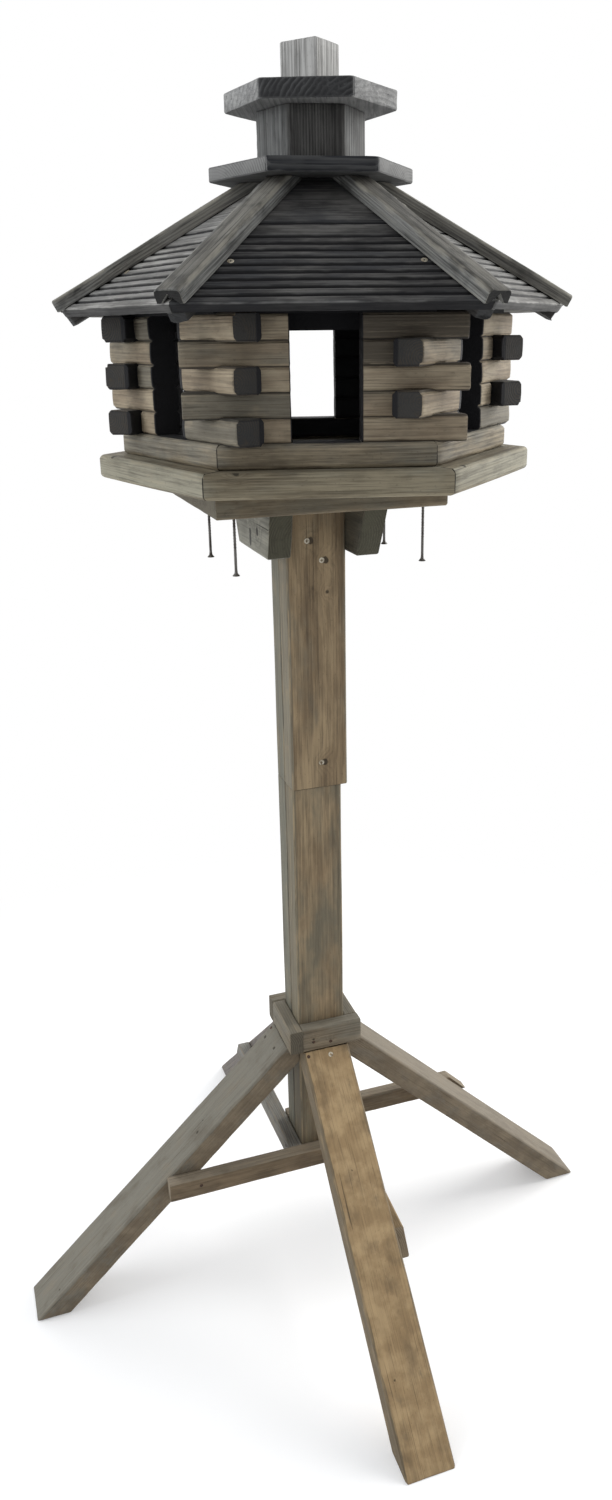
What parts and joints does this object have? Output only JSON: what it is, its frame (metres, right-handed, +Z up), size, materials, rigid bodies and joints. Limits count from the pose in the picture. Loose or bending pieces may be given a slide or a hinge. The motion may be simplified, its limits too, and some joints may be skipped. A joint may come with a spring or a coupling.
{
  "type": "bird feeder",
  "caption": "Hexagonal log-cabin bird feeder with a boarded roof and a stepped top, on a wooden post with four sloping legs.",
  "frame": {"origin": "on the floor, on the axis of the post", "axes": "+Z up along the post, -Y towards the front leg, +X towards the right leg"},
  "size_m": [0.7796, 0.7948, 1.437],
  "materials": {
    "leg_pine": "matte",
    "brace_pine": "matte",
    "post_pine": "matte",
    "platform_pine": "matte",
    "tray_pine": "matte",
    "log_pine": "matte",
    "roof_boards": "matte",
    "batten_pine": "matte",
    "top_pine": "matte",
    "screw_steel": "satin"
  },
  "bodies": {
    "root": {"leg_front": "leg_pine", "leg_right": "leg_pine", "leg_back": "leg_pine", "leg_left": "leg_pine", "brace_front": "brace_pine", "brace_right": "brace_pine", "brace_back": "brace_pine", "brace_left": "brace_pine", "collar_front_back": "leg_pine", "collar_sides": "leg_pine", "post_front_lath": "post_pine", "post_back_lath": "post_pine", "upper_post_front_lath": "post_pine", "upper_post_back_lath": "post_pine", "corbels": "platform_pine", "platform": "platform_pine", "hanging_screws": "screw_steel", "floor_board": "tray_pine", "tray_rails_1": "tray_pine", "tray_rails_2": "tray_pine", "sill_rails_1": "tray_pine", "sill_rails_2": "tray_pine", "log_wall_front": "log_pine", "log_wall_front_right": "log_pine", "log_wall_back_right": "log_pine", "log_wall_back": "log_pine", "log_wall_back_left": "log_pine", "log_wall_front_left": "log_pine", "wall_plates_1": "log_pine", "wall_plates_2": "log_pine", "hip_rafters": "log_pine", "roof_panel_front": "roof_boards", "roof_panel_front_right": "roof_boards", "roof_panel_back_right": "roof_boards", "roof_panel_back": "roof_boards", "roof_panel_back_left": "roof_boards", "roof_panel_front_left": "roof_boards", "hip_battens_front": "batten_pine", "hip_battens_sides": "batten_pine", "hip_battens_back": "batten_pine", "lower_plate": "top_pine", "drum": "top_pine", "upper_plate": "top_pine", "cap_block": "top_pine"}
  },
  "joints": []
}
